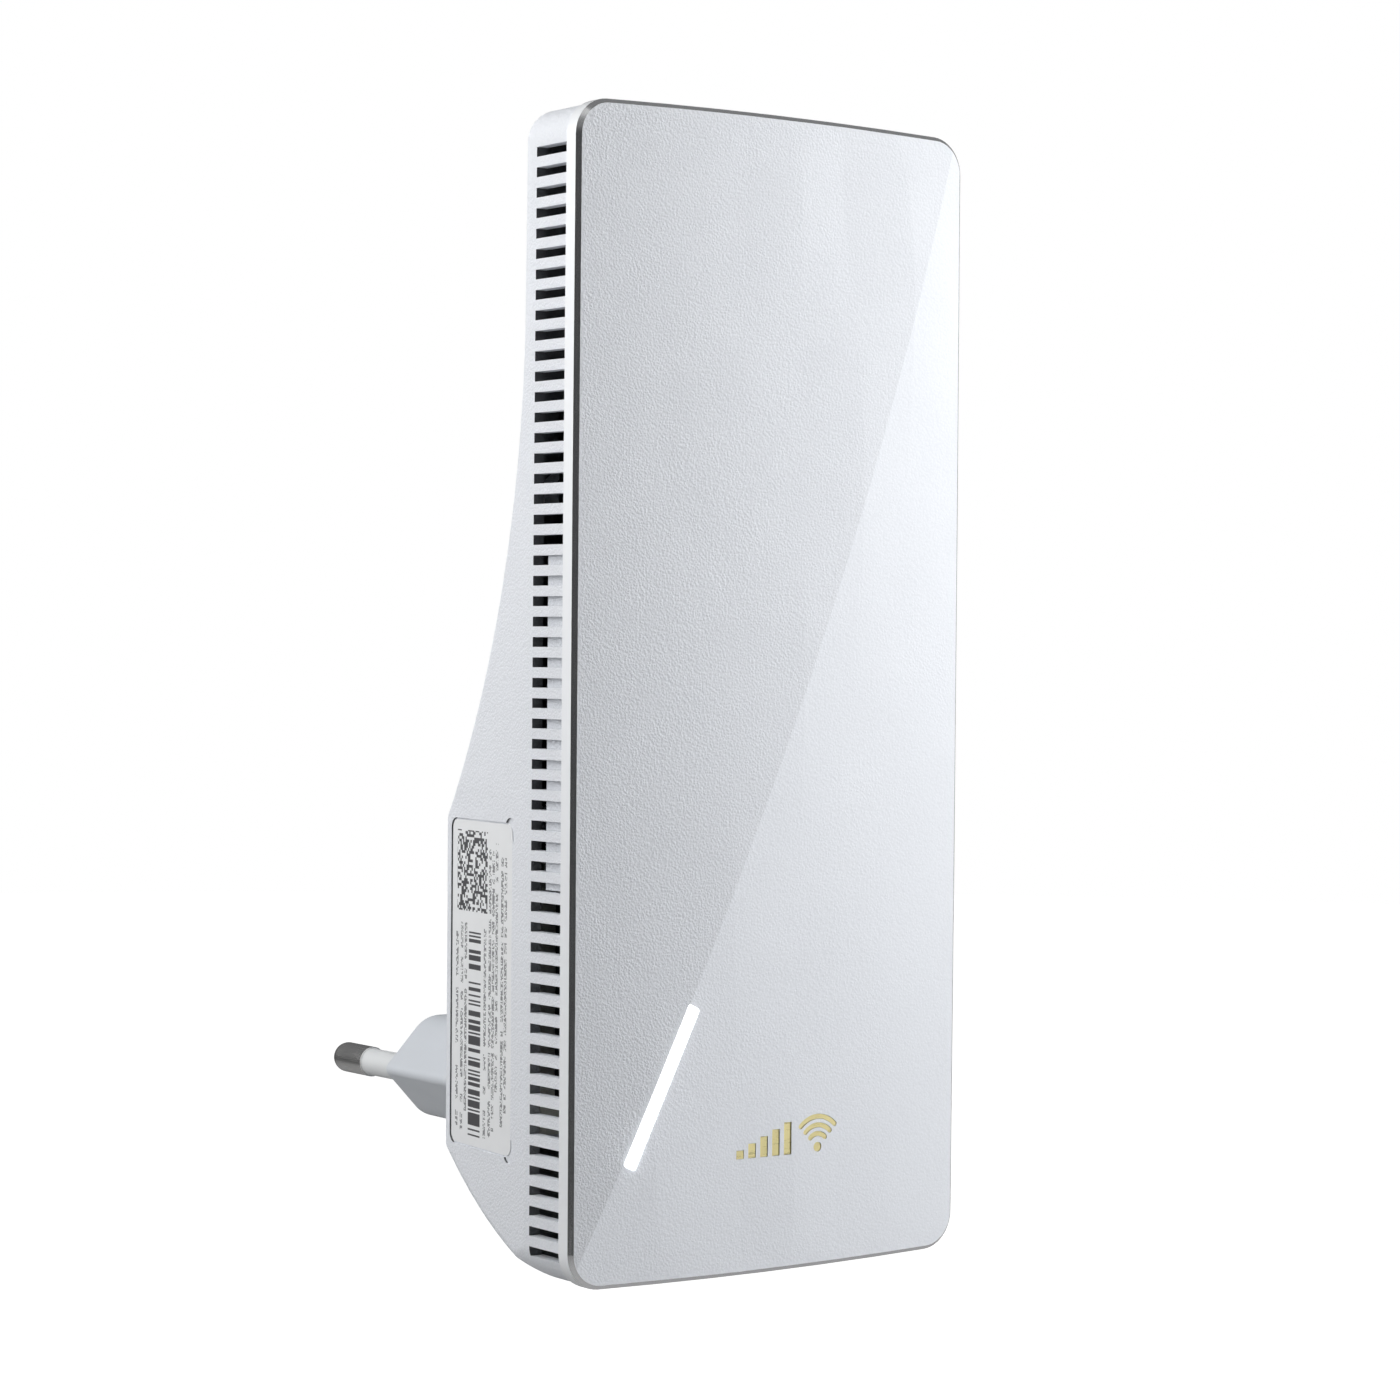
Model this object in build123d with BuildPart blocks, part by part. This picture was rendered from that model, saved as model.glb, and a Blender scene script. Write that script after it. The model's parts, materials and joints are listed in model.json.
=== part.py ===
from build123d import *
import math
import os

# Wifi range extender with a built-in wall plug, in millimetres.
# Origin: centre of the plug's engagement face. +Y into the wall, +X to the right seen from the room, +Z up.

# --- Driving dimensions -------------------------------------------------------------------------
WIDTH = 72.0  # front cover
HEIGHT = 172.5
SIDE_CROWN = 0.15  # outward bow of the long sides
END_CROWN = 0.65  # outward bow of the top and bottom edges
COVER_CORNER = 5.5
BEVEL = 0.66
RIDGE = 0.62  # height of the crease above the cover's perimeter, at mid-height
SKIRT_DEPTH = 2.3
SKIRT_WALL = 1.3
PANEL_INNER = 1.2  # depth of the cover panel's inner face

HOUSING_STEP = 0.3  # housing set in from the cover all round
WALL = 1.8
STRAIGHT_DEPTH = 10.7  # the sides are straight to here, then taper
TAPER = math.tan(math.radians(6))
BACK_DEPTH = 39.0
THIN_DEPTH = 14.0

PLUG_LENGTH = 22.5
PLUG_SHOULDER = 5.8  # radius of the plug's four broad corners
PLUG_OFFSET = 17.0  # housing centre, right of the plug's centre
PLUG_DROP = 60.3  # housing centre, above the plug's centre
PIN_RADIUS = 2.4
PIN_LENGTH = 19.0
PIN_SPACING = 19.0
SLEEVE_LENGTH = 9.0
SLEEVE_RADIUS = 2.15

SLOT_COUNT = 55
SLOT_PITCH = 2.963
SLOT_HEIGHT = 1.43
FIRST_SLOT_TOP = 79.5
SLOT_REAR = 10.45

BOARD_FRONT = 10.0  # main board
BOARD_REAR = 11.6
POWER_FRONT = 33.9  # power board
POWER_REAR = 35.5

LIGHT_ANGLE = 63.4
LIGHT_PLACE = (-20.1, -57.1)
LIGHT_LENGTH = 25.5
LIGHT_WIDTH = 2.0

GUARD_TOP = 20.3  # the cover's side guards stand behind the middle slots
GUARD_BOTTOM = -28.3
GUARD_REAR = 7.7
GUARD_FACE = 34.9  # across, from the centre
GUARD_THICK = 1.1
GUARD_GAP = 0.12

COAX_RADIUS = 0.6

# Depths run back from the plane of the cover's outline, and x and z from the housing's centre.
CENTRE_X = PLUG_OFFSET
CENTRE_Z = PLUG_DROP
FRONT_Y = -PLUG_LENGTH - BACK_DEPTH

os.makedirs("parts", exist_ok=True)


def at(x, depth, z):
    """A point given by its place across, behind and above the housing's centre."""
    return (CENTRE_X + x, FRONT_Y + depth, CENTRE_Z + z)


def facing(depth):
    """A plane that looks to the front, at this depth."""
    return Plane(origin=at(0, depth, 0), x_dir=(1, 0, 0), z_dir=(0, -1, 0))


def across(x):
    """A plane that looks to the right, with depth along its x and height along its y."""
    return Plane(origin=at(x, 0, 0), x_dir=(0, 1, 0), z_dir=(1, 0, 0))


def level(z):
    """A plane that looks up, with depth along its y."""
    return Plane(origin=at(0, 0, z), x_dir=(1, 0, 0), z_dir=(0, 0, 1))


def finish(builder, name):
    builder.part.label = name
    export_step(builder.part, f"parts/{name}.step")


def block(name, places, size, front, rear, corner=0.0):
    """Blocks of one size between two depths, centred on each place."""
    with BuildPart() as piece:
        with BuildSketch(facing(rear)):
            with Locations(*places):
                if corner:
                    RectangleRounded(size[0], size[1], corner)
                else:
                    Rectangle(size[0], size[1])
        extrude(amount=rear - front)
    finish(piece, name)


def cans(name, places, radius, front, rear, edge=0.4):
    """Round capacitors that stand on a board, with a softened free end."""
    with BuildPart() as piece:
        with BuildSketch(facing(rear)):
            with Locations(*places):
                Circle(radius)
        extrude(amount=rear - front)
        fillet(piece.edges().group_by(Axis.Y)[0], radius=edge)
    finish(piece, name)


# --- Outer forms --------------------------------------------------------------------------------
def outline_sketch(inset, corner):
    """The crowned outline seen from the front, set in from the cover's edge."""
    half_w = WIDTH / 2 - inset
    half_h = HEIGHT / 2 - inset
    corner_x = half_w - SIDE_CROWN
    corner_z = half_h - END_CROWN
    with BuildSketch() as outline:
        with BuildLine():
            ThreePointArc((-corner_x, corner_z), (0, half_h), (corner_x, corner_z))
            ThreePointArc((corner_x, corner_z), (half_w, 0), (corner_x, -corner_z))
            ThreePointArc((corner_x, -corner_z), (0, -half_h), (-corner_x, -corner_z))
            ThreePointArc((-corner_x, -corner_z), (-half_w, 0), (-corner_x, corner_z))
        make_face()
        fillet(outline.vertices(), radius=corner)
    return outline.sketch


def crease_x(z):
    """Where the crease lies across the cover, at a height above its centre."""
    place = 5.34 + 0.4136 * z - 0.000875 * z * z
    return max(-WIDTH / 2 + 0.2, min(WIDTH / 2 - 0.2, place))


def ridge_height(z):
    return RIDGE * (1 - (2 * z / HEIGHT) ** 2)


def housing_form(inset, front):
    """The housing's outer form, or its hollow when inset by the wall, from the depth called front."""
    half_w = WIDTH / 2 - HOUSING_STEP - inset
    half_h = HEIGHT / 2 - HOUSING_STEP - inset
    rear = BACK_DEPTH - inset
    taper_start = STRAIGHT_DEPTH
    rear_w = half_w - (rear - taper_start) * TAPER
    thin = THIN_DEPTH - inset
    thin_low = thin + 0.4
    flare_start = 58.0
    flare_radius = 132.0 + inset
    flare_drop = math.sqrt(flare_radius**2 - (flare_radius - (rear - thin_low)) ** 2)
    shoulder_z = flare_start - flare_drop
    heel_z = -69.6 + 0.55 * inset
    belly = (24.4 - 0.45 * inset, -79.3 + 0.89 * inset)
    toe = (8.0, -85.4 + inset)
    with BuildPart() as form:
        with BuildSketch(level(-HEIGHT / 2)):
            with BuildLine():
                Polyline(
                    (-half_w, front),
                    (-half_w, taper_start),
                    (-rear_w, rear),
                    (rear_w, rear),
                    (half_w, taper_start),
                    (half_w, front),
                    close=True,
                )
            make_face()
        extrude(amount=HEIGHT)
        with BuildSketch(across(-WIDTH / 2)):
            with BuildLine():
                Polyline((toe[0], toe[1]), (front, toe[1]), (front, half_h), (thin, half_h), (thin_low, flare_start))
                RadiusArc((thin_low, flare_start), (rear, shoulder_z), -flare_radius)
                Line((rear, shoulder_z), (rear, heel_z))
                ThreePointArc((rear, heel_z), belly, toe)
            make_face()
        extrude(amount=WIDTH, mode=Mode.INTERSECT)
        with BuildSketch(facing(BACK_DEPTH)):
            add(outline_sketch(HOUSING_STEP + inset, COVER_CORNER - HOUSING_STEP - 0.8 * inset))
        extrude(amount=BACK_DEPTH - front, mode=Mode.INTERSECT)
    return form


# --- Front cover, light bar and inlay -----------------------------------------------------------
def cover_ridge_form():
    """A slab whose front is two facets that meet along the crease, flat where it meets the bevel."""
    half = WIDTH / 2
    section_count = 7
    with BuildPart() as slab:
        for index in range(section_count):
            z = HEIGHT * (index / (section_count - 1) - 0.5)
            with BuildSketch(level(z)):
                with BuildLine():
                    Polyline(
                        (-half, SKIRT_DEPTH),
                        (-half, -BEVEL),
                        (crease_x(z), -BEVEL - ridge_height(z)),
                        (half, -BEVEL),
                        (half, SKIRT_DEPTH),
                        close=True,
                    )
                make_face()
        loft()
    return slab.part


def light_sketch(length, width):
    """The light bar's outline on the cover."""
    with BuildSketch() as outline:
        with Locations(Location(LIGHT_PLACE, LIGHT_ANGLE)):
            RectangleRounded(length, width, 0.3)
    return outline.sketch


SIGNAL_BARS = [(-5.9 + 2.2 * step, 1.2 + 0.9 * step) for step in range(5)]
MARK_PLACE = (3.3, -66.3)
MARK_BASE = -2.5


def mark_sketch(grow):
    """A generic signal mark: five rising bars, and three arcs over a dot."""
    with BuildSketch() as mark:
        for step, (x, height) in enumerate(SIGNAL_BARS):
            with Locations((MARK_PLACE[0] + x - 3.0, MARK_PLACE[1] + MARK_BASE + height / 2)):
                Rectangle(1.3 + 2 * grow, height + 2 * grow)
        dot_place = (MARK_PLACE[0] + 5.6, MARK_PLACE[1] + MARK_BASE + 0.7)
        with Locations(dot_place):
            Circle(0.7 + grow)
        for radius in (2.0, 3.3, 4.6):
            SlotArc(CenterArc(dot_place, radius, 45, 90, mode=Mode.PRIVATE), height=0.7 + 2 * grow)
    return mark.sketch


def front_cover():
    inner_corner = COVER_CORNER - SKIRT_WALL
    with BuildPart() as cover:
        with BuildSketch(facing(SKIRT_DEPTH)):
            add(outline_sketch(0, COVER_CORNER))
        extrude(amount=SKIRT_DEPTH)
        with BuildSketch(facing(0)):
            add(outline_sketch(0, COVER_CORNER))
        extrude(amount=BEVEL + RIDGE, taper=45)
        add(cover_ridge_form(), mode=Mode.INTERSECT)
        with BuildSketch(facing(SKIRT_DEPTH)):
            add(outline_sketch(SKIRT_WALL, inner_corner))
        extrude(amount=SKIRT_DEPTH - PANEL_INNER, mode=Mode.SUBTRACT)
        with BuildSketch(facing(PANEL_INNER)):
            add(light_sketch(LIGHT_LENGTH, LIGHT_WIDTH))
        extrude(amount=4, mode=Mode.SUBTRACT)
        with BuildSketch(facing(-BEVEL + 0.2)):
            add(mark_sketch(0.05))
        extrude(amount=2, mode=Mode.SUBTRACT)
        # snap tabs that spring against the housing's lip
        with BuildSketch(facing(6.0)):
            with Locations(*[(0, end * (HEIGHT / 2 - 4.4)) for end in (-1, 1)]):
                Rectangle(10, 1.2)
        extrude(amount=6.0 - PANEL_INNER + 0.5)
        # guards that close the middle slots from behind
        with BuildSketch(facing(GUARD_REAR)):
            for side in (-1, 1):
                with Locations((side * (GUARD_FACE - GUARD_THICK / 2), (GUARD_TOP + GUARD_BOTTOM) / 2)):
                    Rectangle(GUARD_THICK, GUARD_TOP - GUARD_BOTTOM)
        extrude(amount=GUARD_REAR - PANEL_INNER + 0.5)
    finish(cover, "front_cover")


def light_parts():
    with BuildPart() as bar:
        with BuildSketch(facing(PANEL_INNER)):
            add(light_sketch(LIGHT_LENGTH - 0.1, LIGHT_WIDTH - 0.1))
        extrude(amount=PANEL_INNER + BEVEL + 0.5)
        with BuildSketch(facing(PANEL_INNER + 0.6)):
            add(light_sketch(LIGHT_LENGTH + 2, LIGHT_WIDTH + 1.6))
        extrude(amount=0.6)
    finish(bar, "light_bar")
    with BuildPart() as guide:
        with BuildSketch(facing(4.4)):
            add(light_sketch(LIGHT_LENGTH + 1, LIGHT_WIDTH + 1))
        extrude(amount=4.4 - PANEL_INNER - 0.6)
    finish(guide, "light_guide")
    with BuildPart() as board:
        with BuildSketch(facing(6.4)):
            with Locations(Location(LIGHT_PLACE, LIGHT_ANGLE)):
                RectangleRounded(28, 7, 0.8)
        extrude(amount=1.0)
    finish(board, "led_board")
    with BuildPart() as leds:
        with BuildSketch(facing(5.4)):
            with Locations(Location(LIGHT_PLACE, LIGHT_ANGLE)):
                with GridLocations(7.5, 1, 4, 1):
                    Rectangle(2.8, 1.4)
        extrude(amount=0.8)
    finish(leds, "status_leds")
    with BuildPart() as mark:
        with BuildSketch(facing(-BEVEL + 0.2)):
            add(mark_sketch(0))
        extrude(amount=0.22)
    finish(mark, "cover_emblem")


# --- Rear housing -------------------------------------------------------------------------------
REAR_ROUND = 1.6
LABEL_LENGTH = 49.0  # up the side
LABEL_WIDTH = 19.8  # along the tapered side
LABEL_PLACE = (26.55, -43.8)  # depth and height of its centre
LABEL_THICK = 0.15
POCKET_DEEP = 0.3

PORT_PLACE = (18.1, -50.0)  # depth and height of the wired port's centre
PORT_SIZE = (13.0, 15.8)
PORT_MOUTH = 34.1  # how far right the port reaches
BUTTON_PLACE = (15.5, -27.0)
BUTTON_SIZE = (4.5, 10.5)
RESET_PLACE = (14.2, -38.0)
RESET_RADIUS = 0.8

BOARD_SCREWS = [(-28.2, 30.0), (28.2, 30.0), (-28.2, -19.5), (28.2, -19.5)]
POWER_SCREWS = [(-26.0, -28.0), (7.5, -63.5)]
SCREW_RADIUS = 1.1
SCREW_HEAD = 2.2


def side_plane(side, depth, z, lift):
    """The tapered side's own plane: its x runs to the rear, and lift is outward from the surface."""
    half_w = WIDTH / 2 - HOUSING_STEP - (depth - STRAIGHT_DEPTH) * TAPER
    lean = math.atan(TAPER)
    outward = (side * math.cos(lean), math.sin(lean), 0)
    along = (-side * math.sin(lean), math.cos(lean), 0)
    surface = at(side * half_w, depth, z)
    origin = tuple(place + lift * step for place, step in zip(surface, outward))
    return Plane(origin=origin, x_dir=along, z_dir=outward)


def plug_sketch(grow):
    """The plug's flattened six-sided outline, centred on the plug's axis."""
    with BuildSketch() as outline:
        with BuildLine():
            Polyline((-13.0, 0), (-5.4, 8.1), (5.4, 8.1), (13.0, 0), (5.4, -8.1), (-5.4, -8.1), close=True)
        make_face()
        points = outline.vertices().sort_by(Axis.X)
        fillet([points[0], points[-1]], radius=1.2)
        fillet(outline.vertices().filter_by(lambda point: abs(point.Y) > 7), radius=PLUG_SHOULDER)
        if grow:
            offset(amount=grow, kind=Kind.INTERSECTION)
    return outline.sketch


def plug_plane(y):
    """A plane on the plug's axis that looks to the front."""
    return Plane(origin=(0, y, 0), x_dir=(1, 0, 0), z_dir=(0, -1, 0))


def screw_posts():
    """Posts that reach from the boards to the housing's rear wall."""
    with BuildPart() as posts:
        with BuildSketch(facing(BACK_DEPTH)):
            with Locations(*BOARD_SCREWS):
                Circle(2.8)
        extrude(amount=BACK_DEPTH - BOARD_REAR)
        with BuildSketch(facing(BACK_DEPTH)):
            with Locations(*POWER_SCREWS):
                Circle(2.8)
        extrude(amount=BACK_DEPTH - POWER_REAR)
        add(housing_form(WALL / 2, SKIRT_DEPTH).part, mode=Mode.INTERSECT)
    return posts.part


def rear_housing():
    with BuildPart() as housing:
        add(housing_form(0, SKIRT_DEPTH + 0.1).part)
        fillet(housing.edges().filter_by(lambda edge: edge.center().Y > FRONT_Y + 12.2), radius=REAR_ROUND)
        # the lip that stands inside the cover's skirt
        with BuildSketch(facing(SKIRT_DEPTH + 1.5)):
            add(outline_sketch(SKIRT_WALL + 0.1, COVER_CORNER - SKIRT_WALL - 0.1))
        extrude(amount=2.5)
        add(housing_form(WALL, SKIRT_DEPTH + 0.1).part, mode=Mode.SUBTRACT)
        with BuildSketch(facing(SKIRT_DEPTH + 1.6)):
            add(outline_sketch(SKIRT_WALL + 1.2, COVER_CORNER - SKIRT_WALL - 1.2))
        extrude(amount=4, mode=Mode.SUBTRACT)
        # vent slots down both sides
        with BuildSketch(across(-WIDTH)):
            for index in range(SLOT_COUNT):
                z = FIRST_SLOT_TOP - SLOT_HEIGHT / 2 - SLOT_PITCH * index
                with Locations(((SKIRT_DEPTH + SLOT_REAR) / 2, z)):
                    Rectangle(SLOT_REAR - SKIRT_DEPTH, SLOT_HEIGHT)
        extrude(amount=2 * WIDTH, mode=Mode.SUBTRACT)
        # room for the cover's guards
        with BuildSketch(facing(GUARD_REAR + 0.2)):
            for side in (-1, 1):
                with Locations((side * (GUARD_FACE - GUARD_THICK / 2), (GUARD_TOP + GUARD_BOTTOM) / 2)):
                    Rectangle(GUARD_THICK + 2 * GUARD_GAP, GUARD_TOP - GUARD_BOTTOM + 0.4)
        extrude(amount=GUARD_REAR + 2, mode=Mode.SUBTRACT)
        add(screw_posts())
        with BuildSketch(facing(16.0)):
            with Locations(*BOARD_SCREWS):
                Circle(SCREW_RADIUS)
        extrude(amount=16.0 - BOARD_REAR, mode=Mode.SUBTRACT)
        with BuildSketch(facing(38.0)):
            with Locations(*POWER_SCREWS):
                Circle(SCREW_RADIUS)
        extrude(amount=38.0 - POWER_REAR, mode=Mode.SUBTRACT)
        # the opening that the plug body passes
        with BuildSketch(plug_plane(-PLUG_LENGTH + 1)):
            add(plug_sketch(0.35))
        extrude(amount=WALL + 1.5, mode=Mode.SUBTRACT)
        # openings in the right wall: wired port, pairing button and reset pinhole
        with BuildSketch(across(WIDTH / 2 - 6)):
            with Locations(PORT_PLACE):
                Rectangle(PORT_SIZE[0] + 0.3, PORT_SIZE[1] + 0.3)
            with Locations(BUTTON_PLACE):
                RectangleRounded(BUTTON_SIZE[0] + 0.5, BUTTON_SIZE[1] + 0.5, BUTTON_SIZE[0] / 2)
            with Locations(RESET_PLACE):
                Circle(RESET_RADIUS)
        extrude(amount=10, mode=Mode.SUBTRACT)
        # the label's pocket, deeper round its front corners
        with BuildSketch(side_plane(-1, *LABEL_PLACE, -POCKET_DEEP)):
            RectangleRounded(LABEL_WIDTH + 0.5, LABEL_LENGTH + 0.5, 1.6)
            with Locations(*[(-LABEL_WIDTH / 2 + 0.4, end * (LABEL_LENGTH / 2 - 0.9)) for end in (-1, 1)]):
                RectangleRounded(3.2, 3.8, 1.5)
        extrude(amount=2, mode=Mode.SUBTRACT)
    finish(housing, "rear_housing")
    with BuildPart() as label:
        with BuildSketch(side_plane(-1, *LABEL_PLACE, -POCKET_DEEP)):
            RectangleRounded(LABEL_WIDTH, LABEL_LENGTH, 1.4)
        extrude(amount=LABEL_THICK)
    finish(label, "rating_label")


# --- Plug ---------------------------------------------------------------------------------------
PIN_CORE = 1.8
PIN_STUB = 1.0
PLUG_DRAFT = 0.5  # degrees
FLANGE_THICK = 1.2


def plug_parts():
    pin_places = [(side * PIN_SPACING / 2, 0) for side in (-1, 1)]
    with BuildPart() as flange:
        with BuildSketch(plug_plane(-PLUG_LENGTH - WALL)):
            add(plug_sketch(1.8))
        extrude(amount=FLANGE_THICK)
        add(housing_form(WALL, SKIRT_DEPTH).part, mode=Mode.INTERSECT)
    with BuildPart() as body:
        with BuildSketch(plug_plane(0)):
            add(plug_sketch(0))
        extrude(amount=PLUG_LENGTH + WALL, taper=-PLUG_DRAFT)
        fillet(body.faces().sort_by(Axis.Y)[-1].edges(), radius=0.5)
        add(flange.part)
        with BuildSketch(plug_plane(0)):
            with Locations(*pin_places):
                Circle(PIN_CORE)
        extrude(amount=PLUG_LENGTH + WALL + FLANGE_THICK, mode=Mode.SUBTRACT)
        with BuildSketch(plug_plane(0)):
            with Locations(*pin_places):
                Circle(SLEEVE_RADIUS)
        extrude(amount=2, mode=Mode.SUBTRACT)
    finish(body, "plug_body")
    inner_end = -PLUG_LENGTH - WALL - FLANGE_THICK
    stub_end = FRONT_Y + POWER_FRONT - 2.5
    for side, word in ((-1, "left"), (1, "right")):
        x = side * PIN_SPACING / 2
        with BuildPart() as pin:
            with BuildSketch(Plane.XY):
                with BuildLine():
                    Polyline(
                        (x, PIN_LENGTH),
                        (x, stub_end),
                        (x + PIN_STUB, stub_end),
                        (x + PIN_STUB, inner_end),
                        (x + PIN_CORE, inner_end),
                        (x + PIN_CORE, SLEEVE_LENGTH),
                        (x + PIN_RADIUS, SLEEVE_LENGTH),
                        (x + PIN_RADIUS, PIN_LENGTH - PIN_RADIUS),
                    )
                    RadiusArc((x + PIN_RADIUS, PIN_LENGTH - PIN_RADIUS), (x, PIN_LENGTH), -PIN_RADIUS)
                make_face()
            revolve(axis=Axis((x, 0, 0), (0, 1, 0)))
        finish(pin, f"plug_pin_{word}")
        with BuildPart() as sleeve:
            with BuildSketch(plug_plane(SLEEVE_LENGTH)):
                with Locations((x, 0)):
                    Circle(SLEEVE_RADIUS)
                    Circle(PIN_CORE, mode=Mode.SUBTRACT)
            extrude(amount=SLEEVE_LENGTH + 2)
        finish(sleeve, f"pin_sleeve_{word}")
    contact_x = [side * PIN_SPACING / 2 - PLUG_OFFSET for side in (-1, 1)]
    with BuildPart() as contacts:
        with BuildSketch(facing(POWER_FRONT)):
            for x in contact_x:
                with Locations((x, -PLUG_DROP)):
                    Rectangle(5.6, 5)
                    Circle(PIN_STUB, mode=Mode.SUBTRACT)
        extrude(amount=0.5)
        with BuildSketch(facing(POWER_FRONT - 0.5)):
            with Locations(*[(x + shift, -PLUG_DROP) for x in contact_x for shift in (-1.25, 1.25)]):
                Rectangle(0.5, 4)
        extrude(amount=2.5)
    finish(contacts, "plug_contacts")


# --- Power supply -------------------------------------------------------------------------------
def power_parts():
    board_place = (-9.5, -45.5)
    with BuildPart() as board:
        with BuildSketch(facing(POWER_REAR)):
            with Locations(board_place):
                RectangleRounded(40, 43, 1)
            with Locations(*POWER_SCREWS):
                Circle(SCREW_RADIUS + 0.2, mode=Mode.SUBTRACT)
            with Locations(*[(side * PIN_SPACING / 2 - PLUG_OFFSET, -PLUG_DROP) for side in (-1, 1)]):
                Circle(PIN_STUB + 0.3, mode=Mode.SUBTRACT)
        extrude(amount=POWER_REAR - POWER_FRONT)
    finish(board, "power_board")

    block("x_capacitor", [(-17.0, -54.5)], (12, 5), 23.5, POWER_FRONT, 0.8)
    block("bridge_rectifier", [(1.5, -60.3)], (6.5, 8), 31.2, POWER_FRONT)
    block("power_controller", [(-25.0, -42.0)], (5, 6), 32.3, POWER_FRONT)
    block("output_socket", [(7.0, -27.5)], (5, 6), 27.9, POWER_FRONT)
    cans("bulk_capacitors", [(5.2, -50.5), (5.2, -41.5)], 4.1, 21.5, POWER_FRONT)
    cans("output_capacitors", [(-16.0, -27.6), (-8.0, -27.6)], 3.1, 24.5, POWER_FRONT, 0.3)

    with BuildPart() as fuse:
        with BuildSketch(across(-22.0)):
            with Locations((31.4, -64.4)):
                Circle(1.5)
        extrude(amount=10)
        with BuildSketch(across(-22.4)):
            with Locations((31.4, -64.4)):
                Circle(1.8)
        extrude(amount=2.2)
        with BuildSketch(across(-13.8)):
            with Locations((31.4, -64.4)):
                Circle(1.8)
        extrude(amount=2.2)
        with BuildSketch(facing(POWER_FRONT)):
            with Locations((-21.3, -64.4), (-12.7, -64.4)):
                Rectangle(0.8, 0.8)
        extrude(amount=POWER_FRONT - 31.4)
    finish(fuse, "fuse")

    with BuildPart() as disc:
        with BuildSketch(level(-49.4)):
            with Locations((-24.0, 28.9)):
                Circle(4.0)
        extrude(amount=3)
        fillet(disc.edges(), radius=1.0)
        with BuildSketch(facing(POWER_FRONT)):
            with Locations((-26.0, -47.9), (-22.0, -47.9)):
                Rectangle(0.7, 0.7)
        extrude(amount=4)
    finish(disc, "surge_disc")

    with BuildPart() as choke:
        with BuildSketch(facing(POWER_FRONT)):
            with Locations((-6.0, -52.0)):
                Circle(4.8)
                Circle(2.0, mode=Mode.SUBTRACT)
        extrude(amount=5.5)
        fillet(choke.edges().group_by(Axis.Y)[0], radius=0.8)
    finish(choke, "line_choke")

    transformer = (-9.5, -38.0)
    with BuildPart() as winding:
        with BuildSketch(facing(POWER_FRONT)):
            with Locations(transformer):
                Rectangle(15, 12)
        extrude(amount=1.5)
        with BuildSketch(facing(POWER_FRONT - 1.5)):
            with Locations(transformer):
                RectangleRounded(10.6, 9.4, 2)
        extrude(amount=8.5)
        with BuildSketch(facing(POWER_FRONT - 10.0)):
            with Locations(transformer):
                Rectangle(13, 12)
        extrude(amount=0.9)
    finish(winding, "transformer_winding")
    with BuildPart() as core:
        with BuildSketch(facing(POWER_FRONT - 1.5)):
            with Locations(*[(transformer[0] + side * 6.6, transformer[1]) for side in (-1, 1)]):
                Rectangle(2.2, 5)
        extrude(amount=8.5)
    finish(core, "transformer_core")

    with BuildPart() as sheet:
        with BuildSketch(facing(19.6)):
            with Locations((-10.0, -45.0)):
                RectangleRounded(41, 42, 2)
        extrude(amount=0.4)
    finish(sheet, "insulation_sheet")


# --- Main board and radio -----------------------------------------------------------------------
CAN_PLACES = [(-14.5, -2.0), (15.0, -2.0)]
CAN_SIZE = (26.0, 28.0)
CAN_FRONT = 8.3
SINK_REAR = 7.8
SINK_TOP = 20.2
SINK_BOTTOM = -27.2
SINK_HALF = 33.0
FLANGE_FRONT = 2.6


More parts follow.
